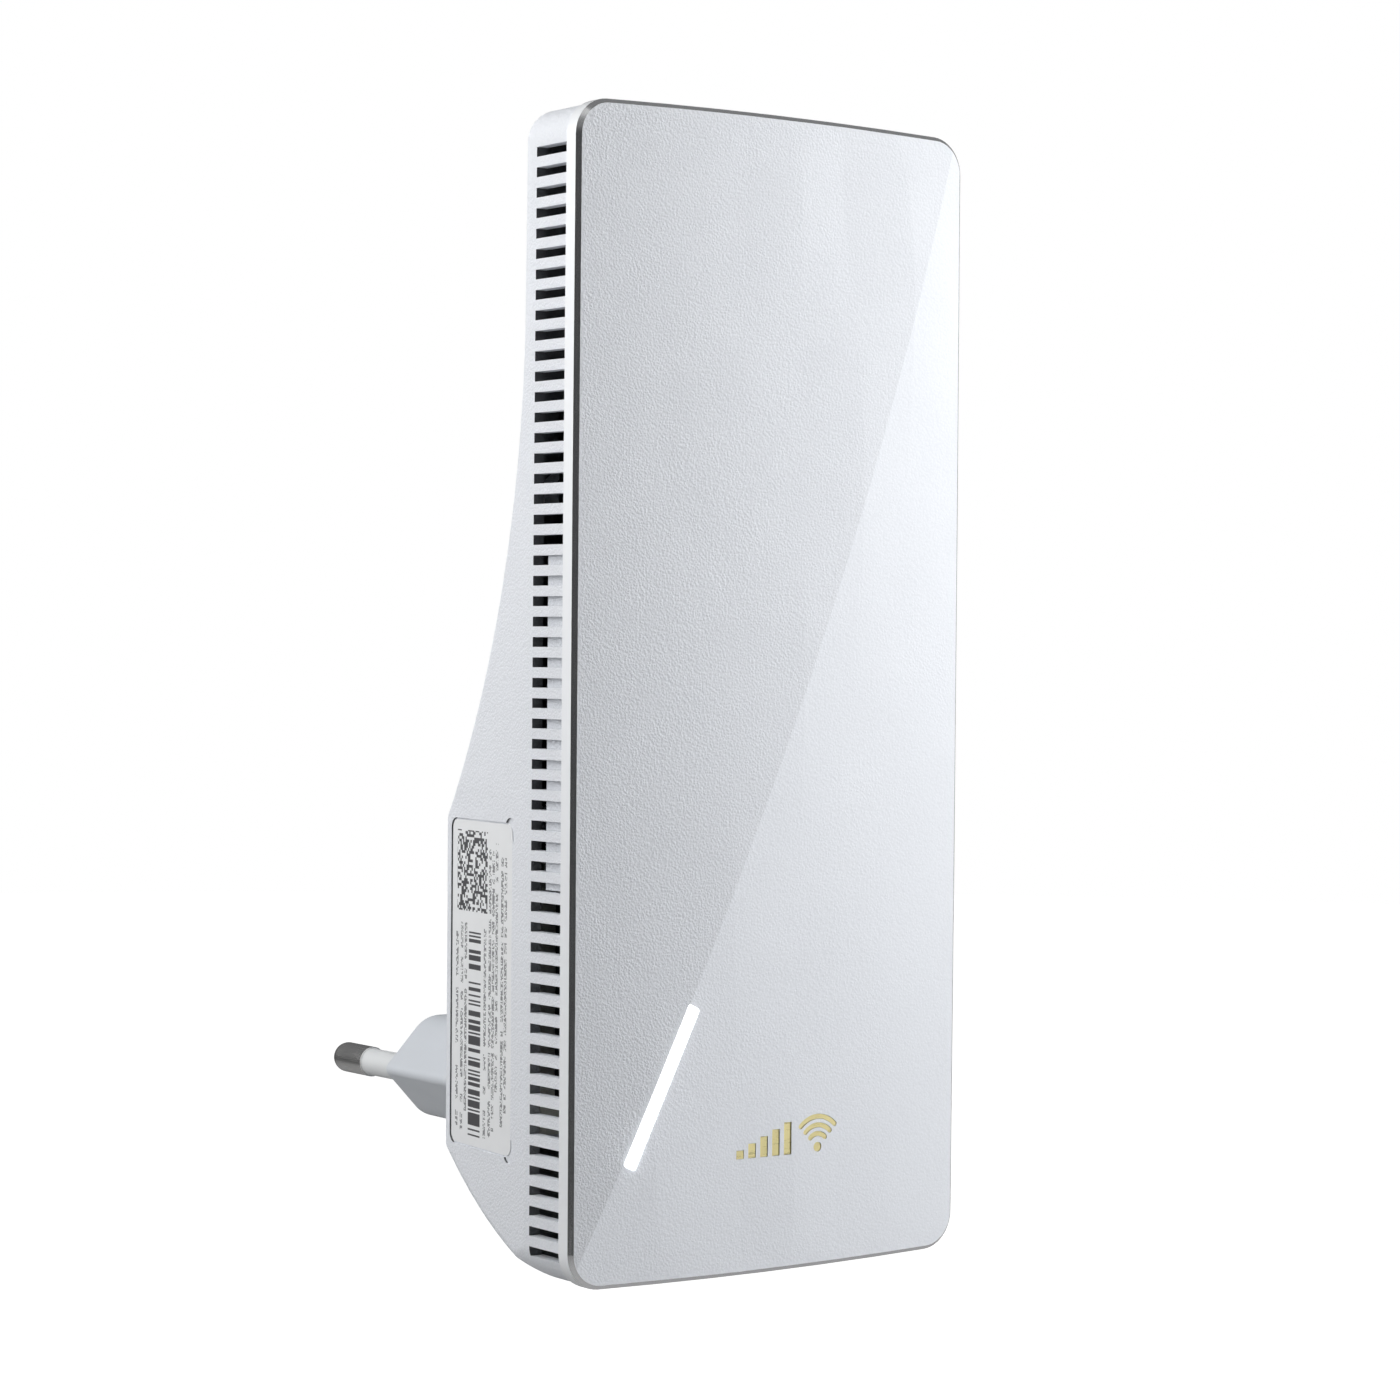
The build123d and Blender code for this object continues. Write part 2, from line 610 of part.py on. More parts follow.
def logic_parts():
    with BuildPart() as board:
        with BuildSketch(facing(BOARD_REAR)):
            with Locations((0, -8.5)):
                RectangleRounded(61, 105, 2)
            with Locations(*BOARD_SCREWS):
                Circle(SCREW_RADIUS + 0.2, mode=Mode.SUBTRACT)
        extrude(amount=BOARD_REAR - BOARD_FRONT)
    finish(board, "main_board")

    with BuildPart() as cover_cans:
        with BuildSketch(facing(BOARD_FRONT)):
            with Locations(*CAN_PLACES):
                RectangleRounded(*CAN_SIZE, 0.6)
        extrude(amount=BOARD_FRONT - CAN_FRONT)
        with BuildSketch(facing(BOARD_FRONT)):
            with Locations(*CAN_PLACES):
                Rectangle(CAN_SIZE[0] - 0.5, CAN_SIZE[1] - 0.5)
        extrude(amount=BOARD_FRONT - CAN_FRONT - 0.25, mode=Mode.SUBTRACT)
    finish(cover_cans, "shield_cans")
    block("radio_chips", CAN_PLACES, (10, 10), 9.0, BOARD_FRONT)
    block("thermal_pads", CAN_PLACES, (18, 18), SINK_REAR, CAN_FRONT)

    height = SINK_TOP - SINK_BOTTOM
    middle = (SINK_TOP + SINK_BOTTOM) / 2
    with BuildPart() as sink:
        with BuildSketch(facing(SINK_REAR)):
            with Locations((0, middle)):
                Rectangle(2 * SINK_HALF, height)
        extrude(amount=1.5)
        with BuildSketch(facing(SINK_REAR)):
            with Locations(*[(side * (SINK_HALF - 0.6), middle) for side in (-1, 1)]):
                Rectangle(1.2, height)
        extrude(amount=SINK_REAR - FLANGE_FRONT)
        with BuildSketch(facing(SINK_REAR - 1.5)):
            with GridLocations(5.2, 1, 11, 1):
                with Locations((0, middle)):
                    Rectangle(1.1, height - 6)
        extrude(amount=2.4)
    finish(sink, "front_heat_sink")

    block("processor", [(-6.0, 0.0)], (14, 14), BOARD_REAR, BOARD_REAR + 1.2)
    block("memory_chip", [(10.0, 6.0)], (9, 13), BOARD_REAR, BOARD_REAR + 1.0)
    block("flash_chip", [(20.5, 3.0)], (6, 8), BOARD_REAR, BOARD_REAR + 1.0)
    block("processor_pad", [(-6.0, 0.0)], (12, 12), BOARD_REAR + 1.2, BOARD_REAR + 2.0)
    with BuildPart() as rear_sink:
        with BuildSketch(facing(BOARD_REAR + 3.2)):
            with Locations((-6.0, -1.0)):
                RectangleRounded(34, 26, 1)
        extrude(amount=1.2)
        with BuildSketch(facing(BOARD_REAR + 6.4)):
            with Locations((-6.0, -1.0)):
                with GridLocations(4.0, 1, 8, 1):
                    Rectangle(1.2, 24)
        extrude(amount=3.2)
    finish(rear_sink, "rear_heat_sink")
    block("line_transformer", [(14.0, -52.0)], (14, 7), 6.6, BOARD_FRONT, 0.5)
    block("power_inlet", [(22.0, -33.0)], (6, 5), BOARD_REAR, BOARD_REAR + 5.0)


ANTENNA_FRONT = 4.5
ANTENNA_REAR = 5.3
ANTENNAS = {
    "upper_left": (-16.0, 72.0),
    "upper_right": (16.0, 72.0),
    "lower_left": (-19.0, -76.0),
    "lower_right": (19.0, -76.0),
}
COAX_DEPTH = ANTENNA_REAR + COAX_RADIUS
JACK_DEPTH = BOARD_FRONT - COAX_RADIUS


def upper_route(side):
    return [
        at(side * 24, COAX_DEPTH, 70),
        at(side * 32.6, COAX_DEPTH, 70),
        at(side * 32.6, COAX_DEPTH, 48),
        at(side * 22, JACK_DEPTH, 46),
        at(side * 22, JACK_DEPTH, 40),
    ]


def lower_route(side):
    return [
        at(side * 22, COAX_DEPTH, -74.5),
        at(side * 31.2, COAX_DEPTH, -74.5),
        at(side * 31.2, 8.3, -62),
        at(side * 31.2, 8.3, -46),
        at(side * 25, JACK_DEPTH, -42),
        at(side * 25, JACK_DEPTH, -36),
    ]


def radio_parts():
    for name, place in ANTENNAS.items():
        block(f"antenna_{name}", [place], (24, 10), ANTENNA_FRONT, ANTENNA_REAR, 0.8)
    for side, word in ((-1, "left"), (1, "right")):
        for row, route, radius in (("upper", upper_route(side), 2.8), ("lower", lower_route(side), 2.0)):
            with BuildPart() as cable:
                with BuildLine() as path:
                    FilletPolyline(*route, radius=radius)
                with BuildSketch(Plane(origin=path.line @ 0, z_dir=path.line % 0)):
                    Circle(COAX_RADIUS)
                sweep()
            finish(cable, f"coax_{row}_{word}")
    jacks = [(side * 22, 39.0) for side in (-1, 1)] + [(side * 25, -35.0) for side in (-1, 1)]
    block("coax_jacks", jacks, (2.6, 2.0), BOARD_FRONT - 1.3, BOARD_FRONT)


# --- Wired port and switches --------------------------------------------------------------------
PORT_BACK = 16.6
PORT_WALL = 0.3


def port_parts():
    cavity = (7.2, 11.8)
    latch = (3.0, 6.2)
    cavity_place = (PORT_PLACE[0] - 0.6, PORT_PLACE[1])
    latch_place = (cavity_place[0] + cavity[0] / 2 + latch[0] / 2, PORT_PLACE[1])
    cavity_back = PORT_MOUTH - 12.5
    with BuildPart() as shell:
        with BuildSketch(across(PORT_BACK)):
            with Locations(PORT_PLACE):
                Rectangle(*PORT_SIZE)
        extrude(amount=PORT_MOUTH - PORT_BACK)
        with BuildSketch(across(PORT_BACK + PORT_WALL)):
            with Locations(PORT_PLACE):
                Rectangle(PORT_SIZE[0] - 2 * PORT_WALL, PORT_SIZE[1] - 2 * PORT_WALL)
        extrude(amount=PORT_MOUTH - PORT_BACK, mode=Mode.SUBTRACT)
    finish(shell, "port_shell")
    with BuildPart() as insert:
        with BuildSketch(across(PORT_BACK + PORT_WALL)):
            with Locations(PORT_PLACE):
                Rectangle(PORT_SIZE[0] - 2 * PORT_WALL, PORT_SIZE[1] - 2 * PORT_WALL)
        extrude(amount=PORT_MOUTH - PORT_BACK - PORT_WALL - 0.2)
        with BuildSketch(across(cavity_back)):
            with Locations(cavity_place):
                Rectangle(*cavity)
            with Locations(latch_place):
                Rectangle(*latch)
        extrude(amount=PORT_MOUTH - cavity_back, mode=Mode.SUBTRACT)
    finish(insert, "port_insert")
    wire_x = cavity_back
    with BuildPart() as wires:
        with BuildSketch(across(wire_x)):
            with Locations(cavity_place):
                with Locations((-cavity[0] / 2 + 0.25, 0)):
                    with GridLocations(1, 1.02, 1, 8):
                        Rectangle(0.5, 0.5)
        extrude(amount=8)
    finish(wires, "port_contacts")


SWITCH_FRONT = 25.0
SWITCH_NOSE = 30.0
STEM_END = 31.0
STEM_RADIUS = 1.2
STEM_REACH = 0.6


def switch_parts(word, place):
    """A side-pressed switch on the main board's rear, and its plunger."""
    half = place[0] - BOARD_REAR
    with BuildPart() as body:
        with BuildSketch(across(SWITCH_FRONT)):
            with Locations((BOARD_REAR + half, place[1])):
                Rectangle(2 * half, 6)
        extrude(amount=SWITCH_NOSE - SWITCH_FRONT)
        with BuildSketch(across(SWITCH_NOSE - 1.6)):
            with Locations(place):
                Circle(STEM_RADIUS + 0.1)
        extrude(amount=1.6, mode=Mode.SUBTRACT)
    finish(body, f"{word}_switch")
    with BuildPart() as plunger:
        with BuildSketch(across(SWITCH_NOSE - STEM_REACH)):
            with Locations(place):
                Circle(STEM_RADIUS)
        extrude(amount=STEM_END - SWITCH_NOSE + STEM_REACH)
    finish(plunger, f"{word}_plunger")


def button_cap():
    flange_back = 31.5
    with BuildPart() as cap:
        with BuildSketch(across(flange_back)):
            with Locations(BUTTON_PLACE):
                RectangleRounded(BUTTON_SIZE[0] + 1.6, BUTTON_SIZE[1] + 2, 1)
        extrude(amount=0.7)
        with BuildSketch(across(flange_back)):
            with Locations(BUTTON_PLACE):
                RectangleRounded(*BUTTON_SIZE, BUTTON_SIZE[0] / 2 - 0.05)
        extrude(amount=4.3)
        fillet(cap.faces().sort_by(Axis.X)[-1].edges(), radius=0.4)
        with BuildSketch(across(STEM_END)):
            with Locations(BUTTON_PLACE):
                Circle(1.6)
        extrude(amount=flange_back - STEM_END)
    finish(cap, "pairing_button")


# --- Leads and fasteners ------------------------------------------------------------------------
LEAD_RADIUS = 0.6


def power_lead():
    """Two insulated wires from the power board's socket to the main board's inlet."""
    wires = []
    for step in (-1, 1):
        route = [
            at(7.0 + step, 27.9, -27.5),
            at(7.0 + step, 25.2, -27.5),
            at(13.0, 24.0 + step, -29.5 + step),
            at(22.0 + step, 24.0 + step, -33.0),
            at(22.0 + step, BOARD_REAR + 5.0, -33.0),
        ]
        with BuildPart() as wire:
            with BuildLine() as path:
                FilletPolyline(*route, radius=1.3)
            with BuildSketch(Plane(origin=path.line @ 0, z_dir=path.line % 0)):
                Circle(LEAD_RADIUS)
            sweep()
        wires.append(wire.part)
    for part, word in zip(wires, ("red", "black")):
        part.label = f"power_lead_{word}"
        export_step(part, f"parts/power_lead_{word}.step")


def screws(name, places, head_depth, length):
    """Pan-head screws driven towards the rear, with a cross in the head."""
    with BuildPart() as group:
        with BuildSketch(facing(head_depth)):
            with Locations(*places):
                Circle(SCREW_HEAD)
        extrude(amount=1.3)
        fillet(group.edges().group_by(Axis.Y)[0], radius=0.6)
        with BuildSketch(facing(head_depth - 0.7)):
            with Locations(*places):
                Rectangle(2.2, 0.5)
                Rectangle(0.5, 2.2)
        extrude(amount=1, mode=Mode.SUBTRACT)
        with BuildSketch(facing(head_depth + length)):
            with Locations(*places):
                Circle(SCREW_RADIUS)
        extrude(amount=length)
    finish(group, name)


front_cover()
light_parts()
rear_housing()
plug_parts()
power_parts()
logic_parts()
radio_parts()
port_parts()
switch_parts("pairing", BUTTON_PLACE)
switch_parts("reset", RESET_PLACE)
button_cap()
power_lead()
screws("board_screws", BOARD_SCREWS, BOARD_FRONT, 5.6)
screws("power_screws", POWER_SCREWS, POWER_FRONT, 3.8)
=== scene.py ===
import json
import math
import random

import bmesh
import bpy
from mathutils import Matrix, Vector

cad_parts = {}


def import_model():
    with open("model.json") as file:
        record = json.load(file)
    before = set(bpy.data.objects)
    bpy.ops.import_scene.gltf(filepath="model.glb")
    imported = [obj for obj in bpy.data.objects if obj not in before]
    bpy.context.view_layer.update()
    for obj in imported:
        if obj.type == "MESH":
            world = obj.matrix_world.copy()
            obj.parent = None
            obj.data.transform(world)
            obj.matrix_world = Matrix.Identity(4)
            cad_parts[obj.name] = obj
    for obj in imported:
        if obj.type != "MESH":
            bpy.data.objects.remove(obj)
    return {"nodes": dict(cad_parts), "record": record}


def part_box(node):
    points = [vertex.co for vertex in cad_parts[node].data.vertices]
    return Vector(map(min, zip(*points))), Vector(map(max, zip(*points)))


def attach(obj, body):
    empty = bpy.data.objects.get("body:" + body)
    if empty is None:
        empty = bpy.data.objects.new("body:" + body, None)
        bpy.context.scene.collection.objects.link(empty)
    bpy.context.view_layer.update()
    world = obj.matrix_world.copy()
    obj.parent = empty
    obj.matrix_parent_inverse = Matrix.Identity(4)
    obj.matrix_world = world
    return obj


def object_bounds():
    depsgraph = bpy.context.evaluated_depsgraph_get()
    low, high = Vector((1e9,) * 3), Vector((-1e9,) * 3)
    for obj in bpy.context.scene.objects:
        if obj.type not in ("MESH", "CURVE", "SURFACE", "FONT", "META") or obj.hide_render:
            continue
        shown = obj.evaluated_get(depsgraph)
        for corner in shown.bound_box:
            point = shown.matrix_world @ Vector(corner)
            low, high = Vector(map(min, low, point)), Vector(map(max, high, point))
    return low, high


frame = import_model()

# Wifi range extender. Lengths are in metres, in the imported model's own frame: +Y into the wall, +Z up.

CAD_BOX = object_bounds()
NODES = frame["nodes"]
MM = 0.001

COVER_LOW, COVER_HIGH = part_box("front_cover")
COVER_CENTRE = (COVER_LOW + COVER_HIGH) / 2
BEVEL = 0.66 * MM
CREASE = 0.62 * MM
OUTLINE_Y = COVER_LOW.y + BEVEL + CREASE  # the plane of the cover's outline
RIM_REAR_Y = OUTLINE_Y + 2.3 * MM

# Seen from the front, with z from the cover's middle, the crease lies at shift + lean * z + bend * z * z.
CREASE_SHIFT = 5.34 * MM
CREASE_LEAN = 0.4136
CREASE_BEND = -0.875
FACET_LIMIT = -0.93  # a facet's normal has a smaller Y than this, the bevel's and the rim's a larger one
LEFT_FACET_PAINTED_SHADE = (0.87, 0.925)  # painted shade: how much the left facet's colour is darkened, from its left edge to the cover's middle

random.seed(41)


# --- Node materials -----------------------------------------------------------------------------
class Surface:
    """A Principled material, with short calls that add to its node tree."""

    def __init__(self, name, color, rough, metal=0.0):
        self.material = bpy.data.materials.new(name)
        self.material.use_nodes = True
        self.tree = self.material.node_tree
        self.shader = self.tree.nodes["Principled BSDF"]
        self.set("Base Color", (*color, 1.0))
        self.set("Roughness", rough)
        self.set("Metallic", metal)
        self.place = self.add("TexCoord").outputs["Object"]
        self.x, self.y, self.z = self.add("SeparateXYZ", {"Vector": self.place}).outputs

    def add(self, kind, inputs=None, **settings):
        node = self.tree.nodes.new("ShaderNode" + kind)
        for key, value in settings.items():
            setattr(node, key, value)
        for key, value in (inputs or {}).items():
            self.feed(node.inputs[key], value)
        return node

    def feed(self, socket, value):
        if isinstance(value, bpy.types.NodeSocket):
            self.tree.links.new(value, socket)
        else:
            socket.default_value = value

    def set(self, name, value):
        self.feed(self.shader.inputs[name], value)

    def calc(self, operation, first, second=0.0, clamp=False):
        return self.add("Math", {0: first, 1: second}, operation=operation, use_clamp=clamp).outputs[0]

    def noise(self, size, detail=3.0, rough=0.5, vector=None):
        """A noise whose features measure size in metres."""
        inputs = {"Vector": vector or self.place, "Scale": 1 / size, "Detail": detail, "Roughness": rough}
        return self.add("TexNoise", inputs).outputs["Fac"]

    def cells(self, size, feature="F1", vector=None):
        inputs = {"Vector": vector or self.place, "Scale": 1 / size}
        return self.add("TexVoronoi", inputs, feature=feature).outputs["Distance"]

    def stretch(self, x=1.0, y=1.0, z=1.0):
        """The place, scaled along each axis."""
        node = self.add("Mapping", {"Vector": self.place, "Scale": (x, y, z)})
        return node.outputs["Vector"]

    def remap(self, value, low, high, to_low, to_high, smooth=False):
        inputs = {"Value": value, "From Min": low, "From Max": high, "To Min": to_low, "To Max": to_high}
        kind = "SMOOTHSTEP" if smooth else "LINEAR"
        return self.add("MapRange", inputs, interpolation_type=kind).outputs["Result"]

    def between(self, value, low, high, soft=0.00004):
        """1 where the value lies between low and high, 0 outside."""
        above = self.remap(value, low - soft, low + soft, 0.0, 1.0)
        below = self.remap(value, high - soft, high + soft, 1.0, 0.0)
        return self.calc("MULTIPLY", above, below)

    def mix(self, amount, first, second):
        """Blends two colours or two numbers."""
        kind = "FLOAT"
        for value in (first, second):
            if isinstance(value, tuple) or getattr(value, "type", "") == "RGBA":
                kind = "RGBA"
        node = self.add("Mix", data_type=kind)
        slots = {"FLOAT": (2, 3, 0), "RGBA": (6, 7, 2)}[kind]
        self.feed(node.inputs[0], amount)
        for slot, value in zip(slots, (first, second)):
            self.feed(node.inputs[slot], (*value, 1.0) if isinstance(value, tuple) else value)
        return node.outputs[slots[2]]

    def bump(self, height, depth, strength=1.0, under=None):
        """A bump depth metres high, on top of the one under it."""
        inputs = {"Height": height, "Distance": depth, "Strength": strength}
        if under:
            inputs["Normal"] = under
        return self.add("Bump", inputs).outputs["Normal"]

    def worn(self, color, amount=0.5):
        """The colour, a little paler on sharp outer edges."""
        edge = self.add("NewGeometry").outputs["Pointiness"]
        fac = self.remap(edge, 0.52, 0.62, 0.0, amount, smooth=True)
        return self.mix(fac, color, (0.96, 0.96, 0.95))


def tinted(color, factor):
    return tuple(min(1.0, channel * factor) for channel in color)


def mottled(surface, color, size, spread):
    """The colour with soft variation of a few per cent."""
    fac = surface.noise(size, 4.0, 0.55)
    fac = surface.remap(fac, 0.3, 0.7, 0.0, 1.0)
    return surface.mix(fac, tinted(color, 1 - spread), tinted(color, 1 + spread))


def moulded(name, color, rough=0.42, grain=0.25 * MM, depth=0.006 * MM, spread=0.02):
    """Plain moulded plastic with a faint skin texture and flow marks."""
    surface = Surface(name, color, rough)
    surface.set("Base Color", surface.worn(mottled(surface, color, 6 * MM, spread), 0.18))
    dull = surface.noise(2.4 * MM, 4.0)
    surface.set("Roughness", surface.remap(dull, 0.3, 0.7, rough - 0.05, rough + 0.07))
    flow = surface.bump(surface.noise(9 * MM, 2.0), 0.02 * MM, 0.25)
    surface.set("Normal", surface.bump(surface.noise(grain, 3.0), depth, 0.6, flow))
    return surface


def pebbled(surface, size, depth, strength=1.0, under=None):
    """The spark-eroded grain of the casing: small rounded pebbles over finer noise."""
    warp = surface.add("TexNoise", {"Vector": surface.place, "Scale": 0.5 / size, "Detail": 2.0})
    shift = surface.add("VectorMath", {0: warp.outputs["Color"], 3: size * 0.8}, operation="SCALE")
    moved = surface.add("VectorMath", {0: surface.place, 1: shift.outputs[0]}, operation="ADD").outputs[0]
    pebble = surface.cells(size, "SMOOTH_F1", moved)
    fine = surface.noise(size * 0.45, 3.0, 0.6)
    height = surface.calc("SUBTRACT", surface.calc("MULTIPLY", fine, 0.55), pebble)
    return height, surface.bump(height, depth, strength, under)


def casing_plastic(surface, color, depth, strength=1.0, under=None):
    """Pebbled satin plastic; strength may vary over the surface."""
    height, normal = pebbled(surface, 0.36 * MM, depth, strength, under)
    # Painted shade: the colour is a little darker in the grain's hollows and a little lighter on the pebbles'
    # tops.
    painted_shade = surface.remap(height, -0.6, 0.3, 0.97, 1.02)
    base = mottled(surface, color, 14 * MM, 0.008)
    surface.set("Base Color", surface.add("VectorMath", {0: base, 3: painted_shade}, operation="SCALE").outputs[0])
    dull = surface.noise(5 * MM, 4.0)
    surface.set("Roughness", surface.remap(dull, 0.3, 0.7, 0.46, 0.56))
    surface.set("Normal", normal)
    surface.set("Specular IOR Level", 0.4)


def metal(name, color, rough=0.28, along=None, spread=0.04):
    """Metal with drawn or rolled marks along one axis."""
    surface = Surface(name, color, rough, 1.0)
    scale = {"x": (0.04, 1, 1), "y": (1, 0.04, 1), "z": (1, 1, 0.04), None: (1, 1, 1)}[along]
    marks = surface.noise(0.12 * MM, 4.0, 0.6, surface.stretch(*scale))
    patch = surface.noise(3 * MM, 4.0)
    surface.set("Base Color", surface.mix(patch, tinted(color, 1 - spread), tinted(color, 1 + spread)))
    surface.set("Roughness", surface.remap(marks, 0.3, 0.7, rough * 0.7, rough * 1.4))
    surface.set("Normal", surface.bump(marks, 0.004 * MM, 0.5))
    return surface


# --- Outside materials --------------------------------------------------------------------------
def right_facet(surface):
    """1 on the face to the right of the crease, 0 to its left; the crease bends a little with height."""
    height = surface.calc("SUBTRACT", surface.z, COVER_CENTRE.z)
    bend = surface.calc("MULTIPLY", surface.calc("MULTIPLY", height, height), CREASE_BEND)
    lean = surface.calc("MULTIPLY", height, CREASE_LEAN)
    crease = surface.calc("ADD", surface.calc("ADD", lean, bend), COVER_CENTRE.x + CREASE_SHIFT)
    soft = 0.06 * MM
    return surface.remap(surface.calc("SUBTRACT", surface.x, crease), -soft, soft, 0.0, 1.0)


def cover_plastic():
    """Pebbled facets, the left one coarser and darkened by painted shade towards its left edge, then a
    bright-cut bevel and a glossy rim.
    """
    color = (0.80, 0.825, 0.87)
    surface = Surface("cover_plastic", color, 0.5)
    shader = surface.shader
    right = right_facet(surface)
    across = surface.remap(surface.x, COVER_LOW.x, COVER_HIGH.x, 0.0, 1.0)
    facet_normal = surface.add("NewGeometry").outputs["True Normal"]
    facing = surface.add("SeparateXYZ", {"Vector": facet_normal}).outputs["Y"]
    ahead = surface.calc("LESS_THAN", surface.y, RIM_REAR_Y + 0.1 * MM)
    rim = surface.calc("MULTIPLY", surface.calc("GREATER_THAN", facing, FACET_LIMIT), ahead)
    bevel = surface.calc("MULTIPLY", rim, surface.calc("LESS_THAN", surface.y, OUTLINE_Y - 0.02 * MM))
    left_grain = surface.remap(across, 0.1, 0.9, 1.0, 0.45)
    strength = surface.mix(right, left_grain, surface.remap(across, 0.2, 1.0, 0.6, 0.2))
    casing_plastic(surface, color, 0.10 * MM, strength, facet_normal)
    base = shader.inputs["Base Color"].links[0].from_socket
    rough = shader.inputs["Roughness"].links[0].from_socket
    normal = shader.inputs["Normal"].links[0].from_socket
    swirl = surface.noise(0.5 * MM, 4.0, 0.6, surface.stretch(1, 1, 0.1))
    # Painted shade: the left facet's colour is darkened, most at its left edge, for light that falls off
    # across the face; the right facet keeps its colour.
    painted_shade = surface.mix(right, surface.remap(across, 0.0, 0.5, *LEFT_FACET_PAINTED_SHADE), 1.0)
    base = surface.add("VectorMath", {0: base, 3: painted_shade}, operation="SCALE").outputs[0]
    base = surface.mix(rim, base, (0.90, 0.915, 0.935))
    surface.set("Base Color", surface.mix(bevel, base, (0.93, 0.93, 0.94)))
    smooth = surface.remap(swirl, 0.3, 0.7, 0.14, 0.22)
    surface.set("Roughness", surface.mix(rim, rough, smooth))
    surface.set("Metallic", surface.calc("MULTIPLY", bevel, 0.94))
    blend = surface.add("Mix", data_type="VECTOR")
    surface.feed(blend.inputs[0], rim)
    surface.feed(blend.inputs[4], normal)
    surface.feed(blend.inputs[5], surface.add("NewGeometry").outputs["Normal"])
    surface.set("Normal", blend.outputs[1])
    return surface


def housing_plastic():
    """The cover's grain on the outside, and painted shade inside the shell: its inner faces are coloured dark
    grey.
    """
    color = (0.80, 0.82, 0.86)
    surface = Surface("housing_plastic", color, 0.5)
    casing_plastic(surface, color, 0.09 * MM)
    base = surface.shader.inputs["Base Color"].links[0].from_socket
    normal = surface.add("NewGeometry").outputs["Normal"]
    normal_x, normal_y, _ = surface.add("SeparateXYZ", {"Vector": normal}).outputs
    side = surface.calc("SIGN", surface.calc("SUBTRACT", surface.x, COVER_CENTRE.x))
    inward = surface.calc("LESS_THAN", surface.calc("MULTIPLY", side, normal_x), -0.3)
    forward = surface.calc("LESS_THAN", normal_y, -0.2)
    behind = surface.calc("GREATER_THAN", surface.y, RIM_REAR_Y + 0.5 * MM)
    inside = surface.calc("MULTIPLY", surface.calc("MAXIMUM", inward, forward), behind)
    # Painted shade: the shell's inner faces behind the rim are coloured dark grey, for the shade inside the
    # casing.
    surface.set("Base Color", surface.mix(inside, base, (0.11, 0.115, 0.12)))
    return surface


def lit_bar():
    surface = Surface("light_diffuser", (0.95, 0.97, 1.0), 0.3)
    frost = surface.noise(0.3 * MM, 3.0)
    pool = surface.noise(7 * MM, 1.0)
    surface.set("Roughness", surface.remap(frost, 0.3, 0.7, 0.25, 0.4))
    surface.set("Normal", surface.bump(frost, 0.01 * MM, 0.4))
    surface.set("Emission Color", (0.97, 0.985, 1.0, 1.0))
    surface.set("Emission Strength", surface.remap(pool, 0.3, 0.7, 2.6, 3.4))
    return surface


def foil():
    """Pale gold hot-stamped foil with a fine brushed grain."""
    surface = metal("emblem_gold", (0.80, 0.71, 0.36), 0.34, "x", 0.06)
    surface.set("Metallic", 0.75)
    return surface


LABEL_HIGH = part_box("rating_label")[1]
PAPER = (0.86, 0.87, 0.88)
INK = (0.075, 0.075, 0.08)

# Left, right, top and bottom, from the label's upper rear corner.
DOT_PATCH = (1.6 * MM, 11.7 * MM, 1.5 * MM, 13.7 * MM)
BAR_STRIP = (5.6 * MM, 9.6 * MM, 16.5 * MM, 47.5 * MM)

# Ruled lines: place, top, bottom and the length of a word.
RULES = [
    (1.3 * MM, 16.5 * MM, 46.5 * MM, 1.7 * MM),
    (2.9 * MM, 15.5 * MM, 47.0 * MM, 1.3 * MM),
    (4.2 * MM, 15.5 * MM, 44.0 * MM, 1.5 * MM),
    (10.6 * MM, 16.0 * MM, 47.5 * MM, 1.2 * MM),
    (12.2 * MM, 4.0 * MM, 47.0 * MM, 0.8 * MM),
    (13.3 * MM, 4.0 * MM, 46.0 * MM, 0.7 * MM),
    (14.4 * MM, 3.0 * MM, 40.0 * MM, 0.8 * MM),
    (16.2 * MM, 5.0 * MM, 45.0 * MM, 0.7 * MM),
    (17.3 * MM, 5.0 * MM, 43.0 * MM, 0.8 * MM),
]


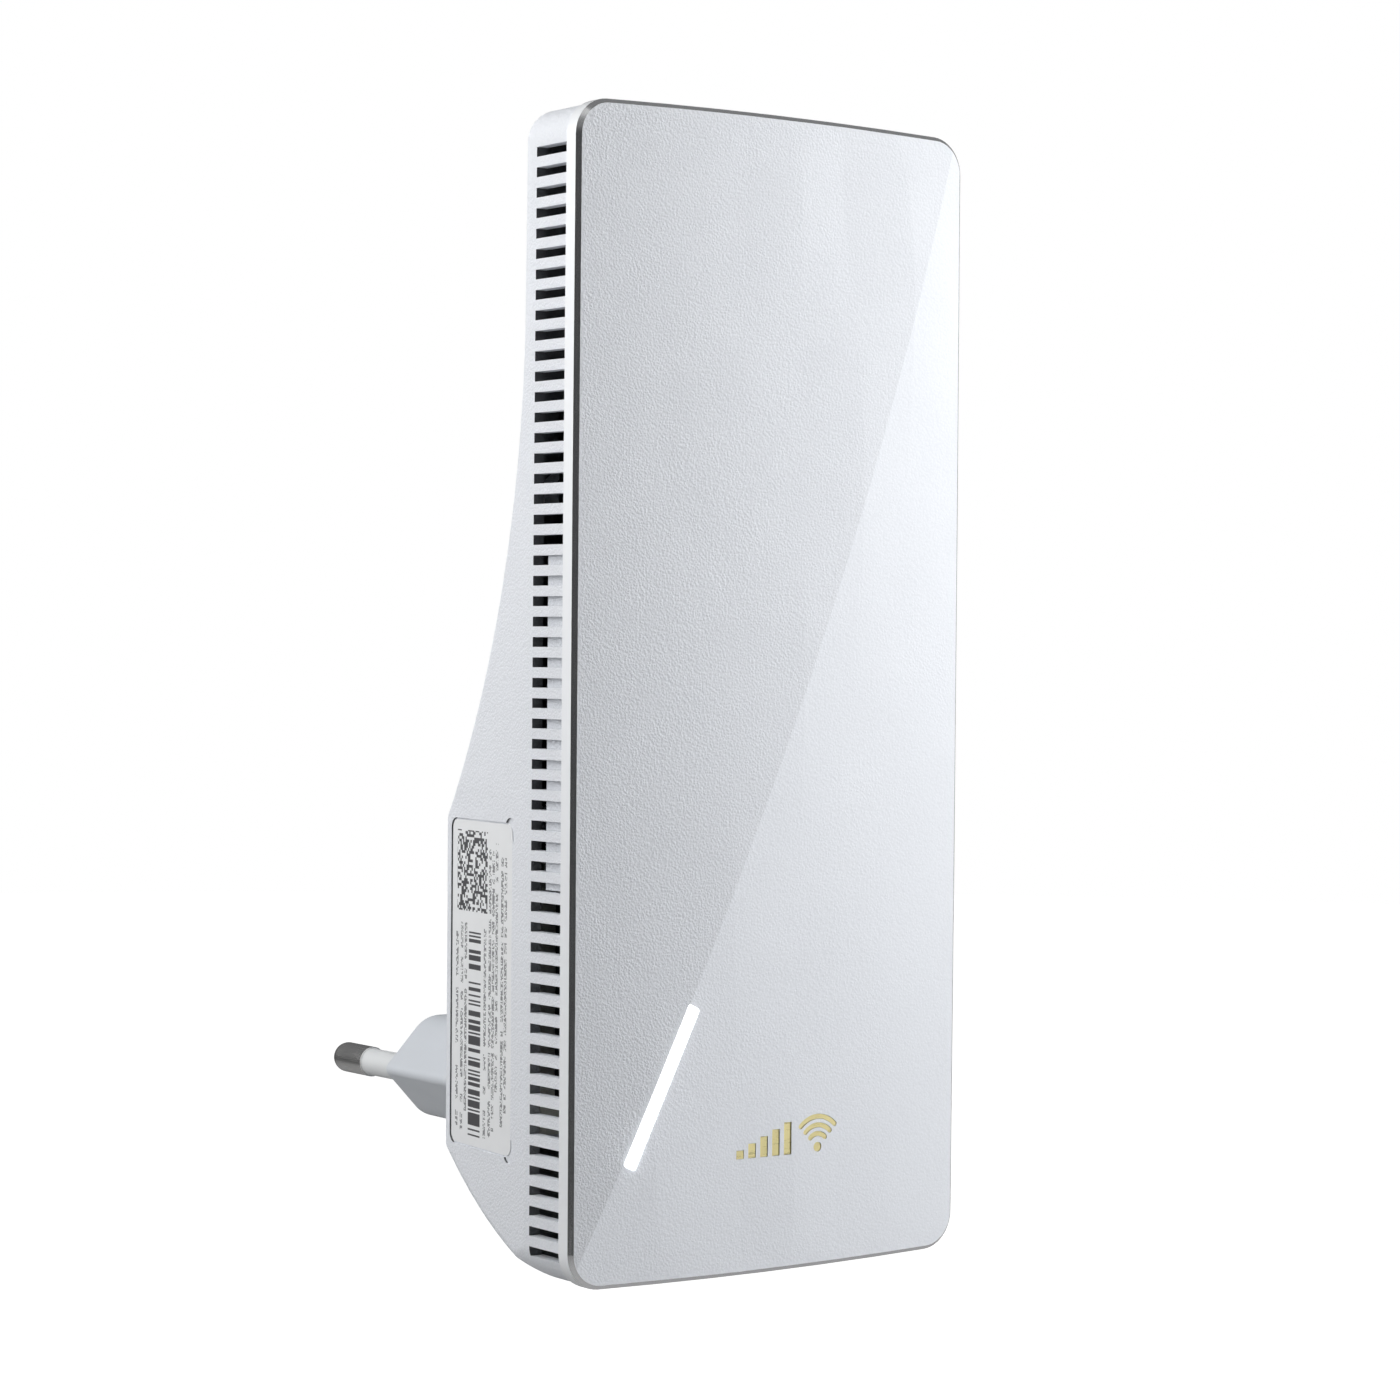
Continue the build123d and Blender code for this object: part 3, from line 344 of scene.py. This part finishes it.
def label_film():
    """A printed film: a dot patch, a bar strip and ruled lines that stand for print, with no lettering."""
    surface = Surface("label_film", PAPER, 0.38)
    from_rear = surface.calc("SUBTRACT", LABEL_HIGH.y, surface.y)
    from_top = surface.calc("SUBTRACT", LABEL_HIGH.z, surface.z)

    def dice(pitch_y, pitch_z, seed):
        """Random values, one for each cell of a grid."""
        cell_y = surface.calc("FLOOR", surface.calc("DIVIDE", from_rear, pitch_y))
        cell_z = surface.calc("FLOOR", surface.calc("DIVIDE", from_top, pitch_z))
        cell = surface.add("CombineXYZ", {"X": cell_y, "Y": cell_z, "Z": seed}).outputs[0]
        return surface.add("TexWhiteNoise", {"Vector": cell}, noise_dimensions="3D").outputs["Value"]

    def field(left, right, top, bottom):
        across = surface.between(from_rear, left, right, 0.03 * MM)
        down = surface.between(from_top, top, bottom, 0.03 * MM)
        return surface.calc("MULTIPLY", across, down)

    dots = surface.calc("GREATER_THAN", dice(0.42 * MM, 0.42 * MM, 3.0), 0.48)
    ink = surface.calc("MULTIPLY", dots, field(*DOT_PATCH))
    bars = surface.calc("GREATER_THAN", dice(1.0, 0.27 * MM, 5.0), 0.45)
    bars = surface.calc("MULTIPLY", bars, field(*BAR_STRIP))
    ink = surface.calc("MAXIMUM", ink, bars)
    for column, (place, top, bottom, gap) in enumerate(RULES):
        words = surface.calc("GREATER_THAN", dice(1.0, gap, 11.0 + column), 0.16)
        specks = surface.calc("GREATER_THAN", dice(0.26 * MM, 0.2 * MM, 31.0 + column), 0.42)
        rule = surface.calc("MULTIPLY", field(place, place + 0.8 * MM, top, bottom), 0.75)
        words = surface.calc("MULTIPLY", words, specks)
        ink = surface.calc("MAXIMUM", ink, surface.calc("MULTIPLY", rule, words))
    paper = mottled(surface, PAPER, 4 * MM, 0.015)
    surface.set("Base Color", surface.mix(ink, paper, INK))
    surface.set("Roughness", surface.remap(surface.noise(1.2 * MM), 0.3, 0.7, 0.34, 0.44))
    surface.set("Normal", surface.bump(surface.noise(0.8 * MM, 3.0), 0.008 * MM, 0.4))
    return surface


def plug_plastic(name, color):
    """A smoother, more even plastic than the casing's."""
    return moulded(name, color, 0.36, 0.2 * MM, 0.004 * MM, 0.012)


# --- Inside materials ---------------------------------------------------------------------------
def circuit_board(name, color, copper=(0.52, 0.36, 0.18)):
    """Solder mask over faint traces, with vias."""
    surface = Surface(name, color, 0.35)
    spacing = {"Vector": surface.place, "Scale": 1 / (1.6 * MM)}
    lanes = surface.add("TexVoronoi", spacing, feature="F1", distance="MANHATTAN")
    lane = surface.calc("FRACT", surface.calc("MULTIPLY", lanes.outputs["Distance"], 4.0))
    trace = surface.calc("GREATER_THAN", lane, 0.55)
    vias = surface.calc("LESS_THAN", surface.cells(2.3 * MM), 0.09)
    mask = surface.mix(surface.calc("MULTIPLY", trace, 0.5), color, tinted(color, 1.7))
    surface.set("Base Color", surface.mix(vias, mask, copper))
    surface.set("Metallic", surface.calc("MULTIPLY", vias, 0.8))
    surface.set("Roughness", surface.remap(surface.noise(1.5 * MM), 0.3, 0.7, 0.28, 0.42))
    surface.set("Normal", surface.bump(trace, 0.03 * MM, 0.5))
    return surface


def jacket(name, color):
    """A wire's extruded jacket."""
    return moulded(name, color, 0.45, 0.15 * MM, 0.004 * MM, 0.05)


def tape(name, color):
    """Wound tape: fine layers with a few creases."""
    surface = Surface(name, color, 0.25)
    layers = surface.noise(0.25 * MM, 2.0, 0.4, surface.stretch(1.0, 1.0, 0.12))
    crease = surface.noise(2.5 * MM, 5.0, 0.7)
    surface.set("Base Color", surface.mix(layers, tinted(color, 0.82), tinted(color, 1.12)))
    surface.set("Roughness", surface.remap(crease, 0.3, 0.7, 0.18, 0.36))
    surface.set("Normal", surface.bump(crease, 0.05 * MM, 0.5))
    return surface


def foam(name, color):
    surface = Surface(name, color, 0.85)
    height, normal = pebbled(surface, 0.3 * MM, 0.03 * MM, 0.7)
    surface.set("Base Color", mottled(surface, color, 1 * MM, 0.06))
    surface.set("Normal", normal)
    return surface


SLOTS = {
    "cover_plastic": cover_plastic,
    "housing_plastic": housing_plastic,
    "light_diffuser": lit_bar,
    "emblem_gold": foil,
    "label_film": label_film,
    "plug_plastic": lambda: plug_plastic("plug_plastic", (0.66, 0.69, 0.73)),
    "pin_nickel": lambda: metal("pin_nickel", (0.84, 0.83, 0.82), 0.2, "y", 0.015),
    "sleeve_plastic": lambda: plug_plastic("sleeve_plastic", (0.72, 0.74, 0.75)),
    "contact_brass": lambda: metal("contact_brass", (0.78, 0.58, 0.26), 0.3),
    "board_black": lambda: circuit_board("board_black", (0.012, 0.016, 0.016)),
    "board_green": lambda: circuit_board("board_green", (0.02, 0.14, 0.05)),
    "board_white": lambda: circuit_board("board_white", (0.72, 0.72, 0.68)),
    "chip_black": lambda: moulded("chip_black", (0.02, 0.02, 0.022), 0.5, 0.1 * MM, 0.006 * MM, 0.1),
    "shield_tin": lambda: metal("shield_tin", (0.72, 0.72, 0.70), 0.26, "x"),
    "thermal_pad": lambda: foam("thermal_pad", (0.42, 0.46, 0.58)),
    "sink_aluminium": lambda: metal("sink_aluminium", (0.86, 0.87, 0.88), 0.34, "z"),
    "sink_dark": lambda: moulded("sink_dark", (0.02, 0.02, 0.022), 0.34, 0.2 * MM, 0.006 * MM, 0.1),
    "antenna_board": lambda: circuit_board("antenna_board", (0.03, 0.10, 0.07), (0.7, 0.42, 0.2)),
    "coax_grey": lambda: jacket("coax_grey", (0.42, 0.43, 0.44)),
    "coax_black": lambda: jacket("coax_black", (0.015, 0.015, 0.015)),
    "gold_contact": lambda: metal("gold_contact", (0.90, 0.68, 0.28), 0.2),
    "port_tin": lambda: metal("port_tin", (0.74, 0.74, 0.73), 0.24, "x"),
    "port_plastic": lambda: moulded("port_plastic", (0.018, 0.018, 0.02), 0.42),
    "switch_plastic": lambda: moulded("switch_plastic", (0.02, 0.02, 0.02), 0.45),
    "plunger_plastic": lambda: moulded("plunger_plastic", (0.62, 0.60, 0.54), 0.45),
    "socket_plastic": lambda: moulded("socket_plastic", (0.78, 0.75, 0.64), 0.4),
    "capacitor_sleeve": lambda: tape("capacitor_sleeve", (0.02, 0.025, 0.05)),
    "film_yellow": lambda: moulded("film_yellow", (0.72, 0.46, 0.04), 0.3),
    "tape_yellow": lambda: tape("tape_yellow", (0.78, 0.55, 0.06)),
    "ferrite": lambda: moulded("ferrite", (0.045, 0.045, 0.05), 0.55, 0.12 * MM, 0.02 * MM, 0.12),
    "choke_enamel": lambda: moulded("choke_enamel", (0.02, 0.09, 0.05), 0.35),
    "fuse_ceramic": lambda: moulded("fuse_ceramic", (0.78, 0.75, 0.66), 0.22),
    "disc_blue": lambda: moulded("disc_blue", (0.02, 0.06, 0.28), 0.28),
    "insulation_film": lambda: moulded("insulation_film", (0.68, 0.68, 0.60), 0.3),
    "lead_red": lambda: jacket("lead_red", (0.42, 0.02, 0.015)),
    "lead_black": lambda: jacket("lead_black", (0.012, 0.012, 0.012)),
    "screw_steel": lambda: metal("screw_steel", (0.58, 0.58, 0.56), 0.3),
    "led_lens": lambda: moulded("led_lens", (0.82, 0.76, 0.34), 0.25),
}
FINISH = {slot: make().material for slot, make in SLOTS.items()}

for part in frame["record"]["subparts"]:
    for place in NODES[part["node"]].material_slots:
        place.material = FINISH[part["material_slot"]]


# --- Fine pieces on the boards ------------------------------------------------------------------
class Pile:
    """Small solids gathered in one mesh."""

    def __init__(self):
        self.mesh = bmesh.new()

    def soften(self, verts, edge, angle=0.5):
        """Rounds every edge that turns by more than angle."""
        edges = {
            e for v in verts for e in v.link_edges
            if len(e.link_faces) == 2 and e.calc_face_angle(0) > angle
        }
        bmesh.ops.bevel(self.mesh, geom=list(edges), offset=edge, segments=2, affect="EDGES", profile=0.6)

    def block(self, centre, size, edge=0.06 * MM, turn=0.0):
        place = Matrix.Translation(centre) @ Matrix.Rotation(turn, 4, "Y") @ Matrix.Diagonal((*size, 1.0))
        verts = bmesh.ops.create_cube(self.mesh, size=1.0, matrix=place)["verts"]
        self.soften(verts, edge)

    def can(self, centre, axis, radius, length, edge=0.1 * MM, segments=32):
        """A round solid along axis, centred on centre."""
        turn = Vector(axis).to_track_quat("Z", "Y").to_matrix().to_4x4()
        verts = bmesh.ops.create_cone(
            self.mesh, cap_ends=True, segments=segments, radius1=radius, radius2=radius, depth=length,
            matrix=Matrix.Translation(centre) @ turn,
        )["verts"]
        self.soften(verts, edge, 1.0)

    def dome(self, centre, radius, height):
        """A solder joint: a low cone with a rounded tip, on a face that looks along +Y."""
        away = Vector((0, 1, 0))
        rings = [(1.0, 0.0), (0.9, 0.18), (0.62, 0.52), (0.36, 0.84), (0.18, 0.97)]
        sides = 16
        previous = None
        for ring_radius, ring_height in rings:
            ring = []
            for step in range(sides):
                angle = 2 * math.pi * step / sides
                offset = Vector((math.cos(angle), 0, math.sin(angle))) * radius * ring_radius
                ring.append(self.mesh.verts.new(centre + offset + away * height * ring_height))
            if previous is None:
                self.mesh.faces.new(ring)
            else:
                for step in range(sides):
                    after = (step + 1) % sides
                    self.mesh.faces.new((previous[step], previous[after], ring[after], ring[step]))
            previous = ring
        self.mesh.faces.new(previous)

    def strip(self, path, width, thick):
        """A flat strip in the XZ plane along a path of right-angle runs."""
        for start, end in zip(path, path[1:]):
            middle = (start + end) / 2
            run = end - start
            size = Vector((abs(run.x) + width, thick, abs(run.z) + width))
            self.block(middle, size, thick * 0.3)

    def finish(self, name, slot):
        """Makes the piece, which rides on the casing."""
        bmesh.ops.recalc_face_normals(self.mesh, faces=self.mesh.faces)
        mesh = bpy.data.meshes.new(name)
        self.mesh.to_mesh(mesh)
        self.mesh.free()
        mesh.shade_smooth()
        mesh.set_sharp_from_angle(angle=math.radians(40))
        piece = bpy.data.objects.new(name, mesh)
        bpy.context.scene.collection.objects.link(piece)
        mesh.materials.append(FINISH[slot])
        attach(piece, "casing")


def ring_path(centre, radius_along, radius_across, direction, steps=20):
    """Points of one oval turn of wire, in the plane of direction and Y."""
    return [
        centre + direction * radius_across * math.cos(2 * math.pi * step / steps)
        + Vector((0, 1, 0)) * radius_along * math.sin(2 * math.pi * step / steps)
        for step in range(steps)
    ]


def wires(name, slot, loops, radius):
    """Round wires that ride on the casing, one closed spline for each loop of points."""
    data = bpy.data.curves.new(name, "CURVE")
    data.dimensions = "3D"
    data.bevel_depth = radius
    data.bevel_resolution = 3
    data.use_fill_caps = True
    for points in loops:
        spline = data.splines.new("NURBS")
        spline.points.add(len(points) - 1)
        for place, point in zip(spline.points, points):
            place.co = (*point, 1.0)
        spline.use_cyclic_u = True
        spline.order_u = 4
        spline.resolution_u = 3
    piece = bpy.data.objects.new(name, data)
    bpy.context.scene.collection.objects.link(piece)
    data.materials.append(FINISH[slot])
    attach(piece, "casing")


def chip_legs():
    """Gull-wing legs down two sides of each small chip."""
    legs = Pile()
    # Out from the chip, up from the board, and the size of each run, in millimetres.
    runs = ((0.2, 0.5, (0.5, 0.14, 0.32)), (0.42, 0.3, (0.14, 0.45, 0.32)), (0.65, 0.09, (0.5, 0.14, 0.32)))
    for node, count in (("memory_chip", 9), ("flash_chip", 4), ("power_controller", 4)):
        low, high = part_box(node)
        on_rear = node != "power_controller"
        foot_y = low.y if on_rear else high.y
        lift = 1 if on_rear else -1
        for step in range(count):
            z = low.z + (high.z - low.z) * (step + 0.5) / count
            for x, out in ((low.x, -1), (high.x, 1)):
                for reach, rise, size in runs:
                    middle = Vector((x + out * reach * MM, foot_y + lift * rise * MM, z))
                    legs.block(middle, Vector(size) * MM, 0.03 * MM)
    legs.finish("chip_legs", "shield_tin")


def small_chips():
    """Surface-mount resistors and capacitors on the main board's rear face."""
    low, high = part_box("main_board")
    taken = [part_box(node) for node in (
        "processor", "memory_chip", "flash_chip", "rear_heat_sink", "power_inlet", "pairing_switch",
        "reset_switch", "port_shell", "board_screws",
    )]
    bodies = Pile()
    black = Pile()
    caps = Pile()
    gap = 3.1 * MM
    share = 0.42  # of the grid's places that get a chip
    edge = 1.6 * MM  # kept clear round the large parts
    columns = int((high.x - low.x) / gap)
    rows = int((high.z - low.z) / gap)
    for column in range(1, columns):
        for row in range(1, rows):
            spot = Vector((low.x + column * gap, high.y, low.z + row * gap))
            chance, kind, turned = random.random(), random.random(), random.random() < 0.5
            if chance > share or any(
                a.x - edge < spot.x < b.x + edge and a.z - edge < spot.z < b.z + edge for a, b in taken
            ):
                continue
            length, width, tall = (1.6, 0.8, 0.7) if kind < 0.5 else (1.0, 0.5, 0.4)
            along = Vector((0, 0, 1)) if turned else Vector((1, 0, 0))
            across = Vector((1, 0, 0)) if turned else Vector((0, 0, 1))
            middle = spot + Vector((0, tall / 2 * MM, 0))

            def size(run):
                return (along * run + across * width + Vector((0, tall, 0))) * MM

            (bodies if kind < 0.5 else black).block(middle, size(length * 0.62), 0.04 * MM)
            for end in (-1, 1):
                caps.block(middle + along * end * length * 0.4 * MM, size(length * 0.22) * 1.04, 0.05 * MM)
    bodies.finish("chip_capacitors", "socket_plastic")
    black.finish("chip_resistors", "chip_black")
    caps.finish("chip_end_caps", "shield_tin")


def can_tops():
    """The bare scored ends of the round capacitors."""
    tops = Pile()
    scores = Pile()
    for node, radius in (("bulk_capacitors", 4.1 * MM), ("output_capacitors", 3.1 * MM)):
        low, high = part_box(node)
        upright = (high.z - low.z) > (high.x - low.x)
        for end in (0, 1):
            x = low.x + radius if upright or end == 0 else high.x - radius
            z = low.z + radius if not upright or end == 0 else high.z - radius
            middle = Vector((x, low.y - 0.04 * MM, z))
            tops.can(middle, (0, 1, 0), radius * 0.8, 0.12 * MM, 0.03 * MM, 48)
            for turn in (0, math.pi / 3, 2 * math.pi / 3):
                size = Vector((radius * 1.1, 0.03 * MM, 0.14 * MM))
                scores.block(middle - Vector((0, 0.07 * MM, 0)), size, 0.01 * MM, turn)
    tops.finish("capacitor_tops", "sink_aluminium")
    scores.finish("capacitor_scores", "sink_dark")


def solder_joints():
    """Joints on the power board's rear face, below its through-hole parts."""
    joints = Pile()
    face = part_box("power_board")[1].y
    for node, count in (
        ("x_capacitor", 2), ("bulk_capacitors", 4), ("output_capacitors", 4), ("transformer_winding", 8),
        ("line_choke", 4), ("surge_disc", 2), ("fuse", 2), ("output_socket", 2), ("bridge_rectifier", 4),
    ):
        low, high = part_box(node)
        pairs = count // 2
        for step in range(pairs):
            part_z = low.z + (high.z - low.z) * (step + 0.5) / pairs
            for x in (low.x + 0.2 * (high.x - low.x), high.x - 0.2 * (high.x - low.x)):
                joints.dome(Vector((x, face, part_z)), 0.75 * MM, 0.7 * MM)
    joints.finish("solder_joints", "shield_tin")


def choke_winding():
    """Two windings of enamelled wire round the choke's ring."""
    low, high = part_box("line_choke")
    centre = (low + high) / 2
    tall = (high.y - low.y) / 2
    mean, half = 3.4 * MM, 1.4 * MM
    clear = 0.35 * MM
    pull = 1.12  # a closed spline lies inside its points
    loops = []
    for start in (20, 200):
        for turn in range(13):
            angle = math.radians(start + turn * 11.5)
            direction = Vector((math.cos(angle), 0, math.sin(angle)))
            hub = centre + direction * mean
            loops.append(ring_path(hub, (tall + clear) * pull, (half + clear) * pull, direction))
    wires("choke_winding", "contact_brass", loops, 0.22 * MM)


def fuse_caps():
    low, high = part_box("fuse")
    caps = Pile()
    axis_y = low.y + 1.8 * MM
    axis_z = (low.z + high.z) / 2
    for x in (low.x + 0.7 * MM, high.x - 0.7 * MM):
        caps.can(Vector((x, axis_y, axis_z)), (1, 0, 0), 1.95 * MM, 1.7 * MM, 0.15 * MM, 40)
    caps.finish("fuse_caps", "port_tin")


def antenna_traces():
    """A folded copper trace on the front of each antenna board."""
    traces = Pile()
    for word in ("upper_left", "upper_right", "lower_left", "lower_right"):
        low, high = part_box(f"antenna_{word}")
        y = low.y - 0.02 * MM
        left, right = low.x + 2 * MM, high.x - 2 * MM
        bottom, top = low.z + 1.5 * MM, high.z - 1.5 * MM
        folds = 9
        path = []
        for fold in range(folds):
            x = left + (right - left) * fold / (folds - 1)
            ends = (bottom, top) if fold % 2 == 0 else (top, bottom)
            path.append(Vector((x, y, ends[0])))
            path.append(Vector((x, y, ends[1])))
        traces.strip(path, 0.9 * MM, 0.05 * MM)
    traces.finish("antenna_traces", "gold_contact")


def transformer_turns():
    """The last turns of wire, partly sunk in the winding."""
    low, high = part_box("transformer_winding")
    middle = (low + high) / 2
    loops = []
    reach_x, reach_z = 5.45 * MM, 4.85 * MM
    corner = 1.6 * MM
    for turn in range(9):
        y = low.y + 2.2 * MM + turn * 0.75 * MM
        loop = []
        for sx, sz in ((1, 1), (-1, 1), (-1, -1), (1, -1)):
            a = Vector((middle.x + sx * reach_x, y, middle.z + sz * (reach_z - corner)))
            b = Vector((middle.x + sx * (reach_x - corner), y, middle.z + sz * reach_z))
            loop += [a, b] if sx * sz > 0 else [b, a]
        loops.append([point for pair in zip(loop, loop) for point in pair])
    wires("transformer_turns", "contact_brass", loops, 0.16 * MM)


chip_legs()
small_chips()
can_tops()
solder_joints()
choke_winding()
fuse_caps()
antenna_traces()
transformer_turns()


# --- Stage, light and camera --------------------------------------------------------------------
def floor():
    """A wide floor below the object, which shows to the camera as white."""
    radius = 1.6
    grey = (0.35, 0.35, 0.35)
    height = CAD_BOX[0].z - 60 * MM
    mesh = bpy.data.meshes.new("floor")
    build = bmesh.new()
    bmesh.ops.create_circle(build, cap_ends=True, radius=radius, segments=96)
    build.to_mesh(mesh)
    build.free()
    piece = bpy.data.objects.new("floor", mesh)
    piece.location = (COVER_CENTRE.x, COVER_CENTRE.y, height)
    bpy.context.scene.collection.objects.link(piece)
    surface = Surface("floor_paper", grey, 0.8)
    surface.set("Base Color", mottled(surface, grey, 0.2, 0.01))
    surface.set("Emission Color", (1.0, 1.0, 1.0, 1.0))
    surface.set("Emission Strength", surface.add("LightPath").outputs["Is Camera Ray"])
    surface.set("Normal", surface.bump(surface.noise(1.5 * MM), 0.05 * MM, 0.2))
    mesh.materials.append(surface.material)


def world():
    """Dim room light, twice as strong overhead as below; the camera sees pure white instead."""
    sky = bpy.data.worlds.new("studio")
    bpy.context.scene.world = sky
    sky.use_nodes = True
    tree = sky.node_tree
    tree.nodes.clear()

    def add(kind, inputs=None, **settings):
        node = tree.nodes.new("ShaderNode" + kind)
        for key, value in settings.items():
            setattr(node, key, value)
        for key, value in (inputs or {}).items():
            if isinstance(value, bpy.types.NodeSocket):
                tree.links.new(value, node.inputs[key])
            else:
                node.inputs[key].default_value = value
        return node

    way = add("TexCoord").outputs["Generated"]
    up = add("SeparateXYZ", {"Vector": way}).outputs["Z"]
    heights = {"Value": up, "From Min": -0.2, "From Max": 0.6, "To Min": 0.08, "To Max": 0.16}
    dome = add("MapRange", heights).outputs["Result"]
    room = add("Background", {"Color": (0.97, 0.985, 1.0, 1.0), "Strength": dome})
    backdrop = add("Background", {"Color": (1.0, 1.0, 1.0, 1.0), "Strength": 1.0})
    seen = add("LightPath").outputs["Is Camera Ray"]
    both = add("MixShader", {0: seen, 1: room.outputs[0], 2: backdrop.outputs[0]})
    add("OutputWorld", {"Surface": both.outputs[0]})


def flag():
    """A dark card to the left of the camera, for the cover's bevel to reflect."""
    distance = 0.34
    width, height = 0.24, 0.34
    black = (0.03, 0.03, 0.032)
    way = math.radians(-57)
    middle = COVER_CENTRE + Vector((math.sin(way) * distance, -math.cos(way) * distance, 0.02))
    side = Vector((math.cos(way), math.sin(way), 0)) * width / 2
    rise = Vector((0, 0, height / 2))
    build = bmesh.new()
    corners = [build.verts.new(middle + a * side + b * rise) for a, b in ((-1, -1), (1, -1), (1, 1), (-1, 1))]
    build.faces.new(corners)
    mesh = bpy.data.meshes.new("flag")
    build.to_mesh(mesh)
    build.free()
    piece = bpy.data.objects.new("flag", mesh)
    bpy.context.scene.collection.objects.link(piece)
    surface = Surface("flag_cloth", black, 0.9)
    surface.set("Base Color", mottled(surface, black, 0.02, 0.1))
    mesh.materials.append(surface.material)
    piece.visible_camera = False
    piece.visible_diffuse = False
    piece.visible_shadow = False


def lamp(name, place, aim, size, power):
    """A white soft box; its place and its aim are measured from the cover's centre."""
    data = bpy.data.lights.new(name, "AREA")
    data.shape = "RECTANGLE"
    data.size, data.size_y = size
    data.energy = power
    light = bpy.data.objects.new(name, data)
    light.location = COVER_CENTRE + Vector(place)
    direction = COVER_CENTRE + Vector(aim) - light.location
    light.rotation_mode = "QUATERNION"
    light.rotation_quaternion = direction.to_track_quat("-Z", "Y")
    light.visible_camera = False
    bpy.context.scene.collection.objects.link(light)


def around(azimuth, elevation, distance):
    """A place around the cover; azimuth 0 is in front of it and 90 to its right."""
    azimuth, elevation = math.radians(azimuth), math.radians(elevation)
    return distance * Vector((
        math.sin(azimuth) * math.cos(elevation),
        -math.cos(azimuth) * math.cos(elevation),
        math.sin(elevation),
    ))


def lights():
    size = (0.25, 0.35)
    centre = (0.0, 0.0, 0.0)
    lamp("key_right", around(54, 20, 0.3), centre, size, 1.32)
    lamp("front_fill", around(30, 10, 0.35), centre, size, 0.1)
    lamp("side_left", around(-118, 25, 0.28), centre, size, 0.72)
    lamp("top_left", around(-100, 45, 0.28), centre, size, 0.12)
    lamp("low_side", around(-135, -25, 0.25), (-0.01, 0.03, -0.06), (0.1, 0.1), 0.008)


VIEW_AZIMUTH = math.radians(-36.05)
VIEW_ELEVATION = math.radians(1.01)
VIEW_ROLL = math.radians(0.469)
VIEW_DISTANCE = 0.521
VIEW_LENS = 89.84
VIEW_AIM = Vector((-8.6, 6.2, -0.8)) * MM  # from the middle of the cover's outline


def camera():
    data = bpy.data.cameras.new("camera")
    data.lens = VIEW_LENS
    data.sensor_width = 36.0
    data.clip_start = 0.02
    data.clip_end = 20.0
    eye = bpy.data.objects.new("camera", data)
    back = Vector((
        math.sin(VIEW_AZIMUTH) * math.cos(VIEW_ELEVATION),
        -math.cos(VIEW_AZIMUTH) * math.cos(VIEW_ELEVATION),
        math.sin(VIEW_ELEVATION),
    ))
    level = Vector((0, 0, 1)).cross(back).normalized()
    upright = back.cross(level)
    right = math.cos(VIEW_ROLL) * level + math.sin(VIEW_ROLL) * upright
    up = -math.sin(VIEW_ROLL) * level + math.cos(VIEW_ROLL) * upright
    centre = Vector((COVER_CENTRE.x, OUTLINE_Y, COVER_CENTRE.z)) + VIEW_AIM
    turn = Matrix((right, up, back)).transposed().to_4x4()
    eye.matrix_world = Matrix.Translation(centre + back * VIEW_DISTANCE) @ turn
    bpy.context.scene.collection.objects.link(eye)
    bpy.context.scene.camera = eye


floor()
flag()
world()
lights()
camera()
bpy.context.scene.view_settings.view_transform = "Standard"
bpy.context.scene.view_settings.look = "None"
